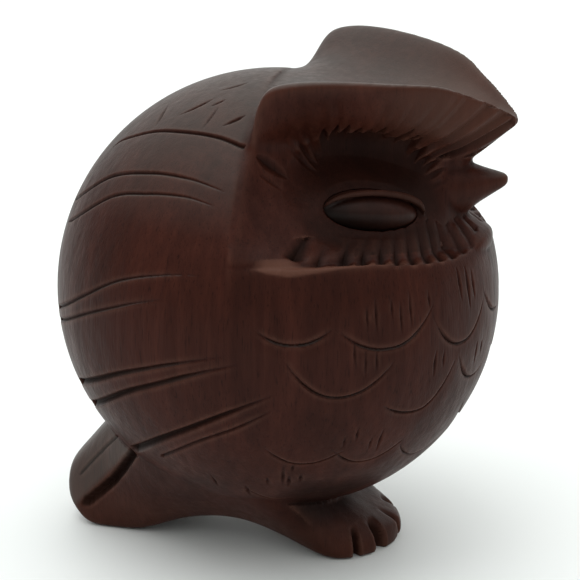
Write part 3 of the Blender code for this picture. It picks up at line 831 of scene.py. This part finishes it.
def paint_rim_highlight(body, side):
    """A painted highlight along the outer edge of the ledge, on its upward faces."""
    x, y, z = body.points.T
    edge = np.flatnonzero((side * x > 1.5) & (y < -3.0) & (np.abs(z - RIM_Z) < 1.6))
    bearing = np.degrees(np.arctan2(-y[edge], side * x[edge]))
    width = np.interp(bearing, *np.array(RIM_STRIP).T)
    inset = np.abs(skin_inset(body.points[edge]))
    away = np.where(z[edge] < RIM_Z, RIM_Z - z[edge], 0.8 * inset)
    body.rim[edge] = falling(away, width, 0.4) * (body.normals[edge, 2] > 0.2)


def carve_side_groove(body, side):
    """The long cut at the back of the eye hollow, and a fainter one below it."""
    outward = eye_axes(side)[1]
    for start, end, half_width, depth in SIDE_GROOVES:
        line = eye_place(side, [(along, 0.0, up) for along, up in (start, end)])
        body.cut_projected(line, outward, half_width, depth)


def warp_rim(body):
    """Raise and lower the rim of the face a little, as a hand-cut edge has it."""
    y, z = body.points[:, 1], body.points[:, 2]
    stations, rises = np.array(RIM_RISE).T
    rise = np.interp(y, stations, rises)
    weight = np.clip(1.0 - np.abs(z - RIM_Z - 0.5) / 5.0, 0.0, 1.0)
    weight = weight * weight * (3.0 - 2.0 * weight)
    for side in SIDES:
        weight *= rising(eye_nearness(side, body.points), 1.0, 0.4)
    body.points[:, 2] += rise * weight * (y < 0.0)
    body.refresh()


def refined(body):
    """The same body with its mesh made finer wherever it will be cut."""
    marked = body.depth > 0.03
    bm = bmesh.new()
    bm.from_mesh(body.mesh)
    bm.edges.ensure_lookup_table()
    a, b = body.edges.T
    chosen = np.flatnonzero(marked[a] | marked[b])
    edges = [bm.edges[i] for i in chosen]
    bmesh.ops.subdivide_edges(bm, edges=edges, cuts=1, use_grid_fill=True)
    odd = [face for face in bm.faces if len(face.verts) > 4]
    bmesh.ops.triangulate(bm, faces=odd)
    return Carving(mesh_of(bm, "refined"))


def gather_cuts(body):
    """Work out every cut and its shading, without moving the skin yet."""
    carve_wings(body)
    carve_breast(body)
    carve_tail(body)
    for side in SIDES:
        carve_leg_recess(body, side)
        carve_brow(body, side)
        carve_ledge(body, side)
        paint_rim_highlight(body, side)
        carve_side_groove(body, side)


def add_attribute(mesh, name, values):
    """Store one number per point, from 0 to 1, for the materials to read."""
    attribute = mesh.attributes.new(name, "FLOAT", "POINT")
    attribute.data.foreach_set("value", values.astype(np.float32))


def place(mesh, name):
    """Move a mesh from working millimetres into the common frame and make it a piece."""
    mesh.transform(Matrix.Translation((0.0, CENTRING_Y * MM, 0.0)) @ Matrix.Scale(MM, 4))
    mesh.name = name
    for polygon in mesh.polygons:
        polygon.use_smooth = True
    obj = added(name, mesh)
    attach(obj, "root")
    return obj


def painted_sheen_places(body):
    """Painted sheen: the upward faces of open tops and the edge of the tail made pale grey, as a
    painted reflection of the bright sky.
    """
    x, y, z = body.points.T
    outside = np.maximum(rising(z, 81.0, 3.0), np.clip(y / 2.0 + 0.5, 0.0, 1.0))
    outside = np.maximum(outside, falling(z, 57.0, 3.0))
    outside *= rising(z, 14.0, 6.0)
    outside = np.maximum(outside, falling(y, -37.0, 3.0))
    top = outside * rising(body.normals[:, 2], 0.45, 0.5)
    # Painted sheen on the lit edge of the tail
    tail = 0.9 * rising(z + 1.12 * (y - 21.4), 20.6, 1.5)
    tail *= (y > 22.0) & (z < 24.0) & (np.abs(x) < 17.0) & (skin_inset(body.points) < -0.5)
    return np.maximum(top, tail)


def lighter_places(body):
    """Where the wood is made warmer and lighter: a painted highlight on the rim, painted light low on
    the feet, and the front of the brow.
    """
    y, z = body.points[:, 1], body.points[:, 2]
    hollow = np.clip(body.hollow, 0.0, 1.0)
    # Painted light low on the feet, held back where painted shade lies
    feet = 0.24 * falling(z, 11.0, 5.0) * (1.0 - hollow)
    brow = 0.5 * falling(y, -18.0, 14.0) * rising(z, 75.0, 5.0)
    return np.maximum.reduce((body.rim, feet, brow * (z < 90.0)))


def edge_curve(body):
    """How sharply the surface bends outward at each point, evened out a little."""
    curve = ((body.points - body.neighbour_mean(body.points)) * body.normals).sum(1)
    for _ in range(3):
        curve = body.neighbour_mean(curve)
    return curve


def make_body():
    """The carved body: rough form, cuts on a mesh made finer for them, and shading."""
    body = Carving(rough_body())
    gather_cuts(body)
    body = refined(body)
    gather_cuts(body)
    body.apply_cuts()
    warp_rim(body)
    carve_toes(body)
    off_eye = np.minimum(*(eye_nearness(side, body.points) for side in SIDES)) - 1.0
    curve = edge_curve(body) * rising(off_eye, 0.0, 0.12)
    wear = rising(curve, 0.0, FULL_WEAR_AND_SHADE_CURVE) * rising(off_eye, 0.0, 0.5)
    # Painted shade in cuts and hollows, painted light on the rim and feet, a painted sheen on upward
    # faces; the edge wear is real
    add_attribute(body.mesh, "groove", np.clip(body.groove, 0.0, 1.0))
    add_attribute(body.mesh, "hollow", np.clip(body.hollow, 0.0, 1.0))
    add_attribute(body.mesh, "rim", lighter_places(body))
    add_attribute(body.mesh, "painted_sheen", painted_sheen_places(body))
    add_attribute(body.mesh, "wear", wear)
    # Painted shade in hollow corners
    add_attribute(body.mesh, "corner", falling(curve, 0.0, FULL_WEAR_AND_SHADE_CURVE))
    return place(body.mesh, "owl_body")


def make_eye(name, side):
    """A polished dome, fullest above its middle, with painted shade low down and at its rear."""
    bm = ellipsoid(Matrix.Identity(4))
    shade = []
    for vert in bm.verts:
        along, out, up = vert.co
        # Painted shade: darker low down and to the rear, lightest at the beak end
        shade.append(0.58 - 0.50 * along - 0.55 * up)
        if out > 0.0:
            out *= 1.0 - 0.22 * max(0.0, 0.25 - up)
        vert.co = Vector(eye_place(side, np.array((along, out, up)) * EYE_RADII))
    bm.normal_update()
    bmesh.ops.recalc_face_normals(bm, faces=bm.faces)
    mesh = mesh_of(bm, name)
    # The painted shade, stored for the material
    add_attribute(mesh, "hollow", np.clip(shade, 0.0, 1.0))
    return place(mesh, name)


class Shader:
    """A helper for building the nodes of a material or the sky."""

    def __init__(self, owner):
        self.owner = owner
        owner.use_nodes = True
        self.tree = owner.node_tree

    def node(self, kind, **values):
        node = self.tree.nodes.new(kind)
        for key, value in values.items():
            setattr(node, key, value)
        return node

    def feed(self, value, socket):
        """Link a node's output to a socket, or set it to a number or a colour."""
        if isinstance(value, bpy.types.NodeSocket):
            self.tree.links.new(value, socket)
        elif socket.type == "RGBA":
            socket.default_value = (*value, 1.0)
        else:
            socket.default_value = value

    def coordinates(self, scale):
        """Object coordinates in millimetres, stretched by scale."""
        source = self.node("ShaderNodeTexCoord")
        mapping = self.node("ShaderNodeMapping")
        self.feed([value / MM for value in scale], mapping.inputs["Scale"])
        self.feed(source.outputs["Object"], mapping.inputs["Vector"])
        return mapping.outputs["Vector"]

    def noise(self, scale, detail, roughness=0.5, distortion=0.0):
        node = self.node("ShaderNodeTexNoise")
        self.feed(1.0, node.inputs["Scale"])
        self.feed(detail, node.inputs["Detail"])
        self.feed(roughness, node.inputs["Roughness"])
        self.feed(distortion, node.inputs["Distortion"])
        self.feed(self.coordinates(scale), node.inputs["Vector"])
        return node.outputs["Fac"]

    def ramp(self, value, *stops):
        """Turn a value into colours or numbers, given as (value, colour) stops."""
        node = self.node("ShaderNodeValToRGB")
        elements = node.color_ramp.elements
        while len(elements) < len(stops):
            elements.new(0.5)
        for element, (position, colour) in zip(elements, stops):
            element.position = position
            element.color = (*colour, 1.0) if isinstance(colour, tuple) else (*[colour] * 3, 1.0)
        self.feed(value, node.inputs["Fac"])
        return node.outputs["Color"]

    def mix(self, factor, a, b, blend="MIX"):
        node = self.node("ShaderNodeMix", data_type="RGBA", blend_type=blend)
        for value, name in ((factor, "Factor"), (a, "A"), (b, "B")):
            self.feed(value, node.inputs[name])
        return node.outputs["Result"]

    def math(self, operation, *values):
        node = self.node("ShaderNodeMath", operation=operation)
        for value, socket in zip(values, node.inputs):
            self.feed(value, socket)
        return node.outputs["Value"]

    def attribute(self, name):
        return self.node("ShaderNodeAttribute", attribute_name=name).outputs["Fac"]

    def bump(self, height, distance, strength):
        node = self.node("ShaderNodeBump")
        self.feed(strength, node.inputs["Strength"])
        self.feed(distance, node.inputs["Distance"])
        self.feed(height, node.inputs["Height"])
        return node

    def surface(self, colour, roughness):
        """Set the main shader's colour and roughness, and give back its inputs."""
        inputs = self.tree.nodes["Principled BSDF"].inputs
        self.feed(colour, inputs["Base Color"])
        self.feed(roughness, inputs["Roughness"])
        return inputs


def wood_colour(shader, streaks, pores, dark):
    """Streaked grain with open pores, painted shade in the cuts, warmer and lighter at worn edges and
    where light is painted, and a pale grey painted sheen.
    """
    figure = shader.noise((0.11, 0.11, 0.012), 2.0, distortion=0.6)
    colour = shader.ramp(streaks, (0.3, WOOD_DARK), (0.52, WOOD_MIDDLE), (0.75, WOOD_LIGHT))
    colour = shader.mix(1.0, colour, shader.ramp(figure, (0.32, 0.62), (0.68, 1.0)), "MULTIPLY")
    colour = shader.mix(0.8, colour, shader.ramp(pores, (0.30, 0.45), (0.42, 1.0)), "MULTIPLY")
    # Painted shade in cuts, hollow corners and hollows
    colour = shader.mix(dark, colour, WOOD_IN_PAINTED_SHADE)
    # Real wear on convex edges; painted light on the rim and feet, and lighter wood at the brow's
    # front
    wear = shader.math("MULTIPLY", shader.attribute("wear"), 0.4)
    rim = shader.math("MULTIPLY", shader.attribute("rim"), 0.65)
    colour = shader.mix(shader.math("MAXIMUM", wear, rim), colour, WOOD_WORN_AND_LIT)
    # Painted sheen on upward faces
    return shader.mix(shader.math("MULTIPLY", shader.attribute("painted_sheen"), 0.28), colour, WOOD_PAINTED_SHEEN)


def wood_material():
    shader = Shader(bpy.data.materials.new("dark_carved_wood"))
    streaks = shader.noise((0.75, 0.75, 0.035), 4.0, 0.6, 0.3)
    pores = shader.noise((3.6, 3.6, 0.22), 2.0)
    tools = shader.noise((0.35, 0.35, 0.22), 2.0)
    # Painted shade where cuts, hollow corners and hollows are
    cuts = shader.math("MAXIMUM", shader.attribute("groove"), shader.attribute("corner"))
    hollow = shader.math("MULTIPLY", shader.attribute("hollow"), 0.6)
    dark = shader.math("MAXIMUM", shader.math("MULTIPLY", cuts, 0.8), hollow)
    rough = shader.mix(dark, shader.ramp(streaks, (0.3, 0.46), (0.7, 0.34)), (0.7, 0.7, 0.7))
    inputs = shader.surface(wood_colour(shader, streaks, pores, dark), rough)
    pore_bumps = shader.bump(pores, 0.00012, 0.35)
    tool_bumps = shader.bump(tools, 0.0006, 0.25)
    shader.feed(pore_bumps.outputs["Normal"], tool_bumps.inputs["Normal"])
    shader.feed(tool_bumps.outputs["Normal"], inputs["Normal"])
    shader.feed(0.07, inputs["Specular IOR Level"])
    return shader.owner


def eye_material():
    shader = Shader(bpy.data.materials.new("polished_eye_wood"))
    streaks = shader.noise((0.9, 0.9, 0.08), 3.0, 0.55, 0.2)
    pores = shader.noise((4.0, 4.0, 0.3), 2.0)
    colour = shader.ramp(streaks, (0.3, EYE_DARK), (0.7, EYE_LIGHT))
    colour = shader.mix(0.7, colour, shader.ramp(pores, (0.30, 0.5), (0.42, 1.0)), "MULTIPLY")
    # Painted shade low and at the rear of the eye
    colour = shader.mix(shader.attribute("hollow"), colour, WOOD_IN_PAINTED_SHADE)
    inputs = shader.surface(colour, shader.ramp(streaks, (0.3, 0.50), (0.7, 0.42)))
    shader.feed(shader.bump(pores, 0.00008, 0.25).outputs["Normal"], inputs["Normal"])
    shader.feed(0.12, inputs["Specular IOR Level"])
    return shader.owner


def floor_material():
    shader = Shader(bpy.data.materials.new("pale_floor"))
    cloud = shader.noise((0.01, 0.01, 0.01), 2.0, 0.55)
    shader.surface(shader.ramp(cloud, (0.3, FLOOR_COLOURS[0]), (0.7, FLOOR_COLOURS[1])), 0.6)
    return shader.owner


def make_floor():
    bm = bmesh.new()
    bmesh.ops.create_grid(bm, x_segments=1, y_segments=1, size=FLOOR_HALF_SIZE)
    floor = added("floor", mesh_of(bm, "floor"))
    floor.data.materials.append(floor_material())


def make_top_light():
    data = bpy.data.lights.new("top_light", "AREA")
    data.shape, data.size, data.energy = "SQUARE", TOP_LIGHT_SIZE, TOP_LIGHT_WATTS
    lamp = added("top_light", data)
    lamp.location = TOP_LIGHT_PLACE
    aim = Vector(TOP_LIGHT_AIM) - lamp.location
    lamp.rotation_euler = aim.to_track_quat("-Z", "Y").to_euler()


def make_sky():
    """A soft studio: bright overhead, pale behind the owl's left side, dim on its right."""
    world = bpy.data.worlds.new("studio")
    bpy.context.scene.world = world
    sky = Shader(world)
    way = sky.node("ShaderNodeTexCoord").outputs["Generated"]
    total = SKY_DIMMEST
    for direction, strength in (SKY_OVERHEAD, SKY_BEHIND):
        dot = sky.node("ShaderNodeVectorMath", operation="DOT_PRODUCT")
        sky.feed(way, dot.inputs[0])
        sky.feed(direction, dot.inputs[1])
        facing = sky.math("MAXIMUM", dot.outputs["Value"], 0.0)
        total = sky.math("MULTIPLY_ADD", facing, strength, total)
    background = sky.tree.nodes["Background"].inputs
    sky.feed(SKY_COLOUR, background["Color"])
    sky.feed(total, background["Strength"])


def make_camera():
    azimuth, elevation = math.radians(CAMERA_AZIMUTH), math.radians(CAMERA_ELEVATION)
    right = Vector((math.cos(azimuth), math.sin(azimuth), 0.0))
    back = Vector((math.sin(azimuth) * math.cos(elevation),
                   -math.cos(azimuth) * math.cos(elevation), math.sin(elevation)))
    down = right.cross(back)
    target = Vector((0.0, CENTRING_Y * MM, BALL_Z * MM)) + right * AIM_RIGHT + down * AIM_DOWN
    data = bpy.data.cameras.new("camera")
    data.lens, data.sensor_width = CAMERA_LENS, CAMERA_SENSOR
    data.clip_start, data.clip_end = 0.01, 20.0
    camera = added("camera", data)
    camera.location = target + back * CAMERA_DISTANCE
    camera.rotation_euler = (-back).to_track_quat("-Z", "Y").to_euler()
    bpy.context.scene.camera = camera


def main():
    body = make_body()
    body.data.materials.append(wood_material())
    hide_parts("carved_body")
    eye_wood = eye_material()
    for name, side in zip(("right_eye", "left_eye"), SIDES):
        eye = make_eye(f"{name}_dome", side)
        eye.data.materials.append(eye_wood)
        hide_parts(name)
    make_floor()
    make_sky()
    make_top_light()
    make_camera()
    bpy.context.scene.view_settings.view_transform = "Standard"


main()
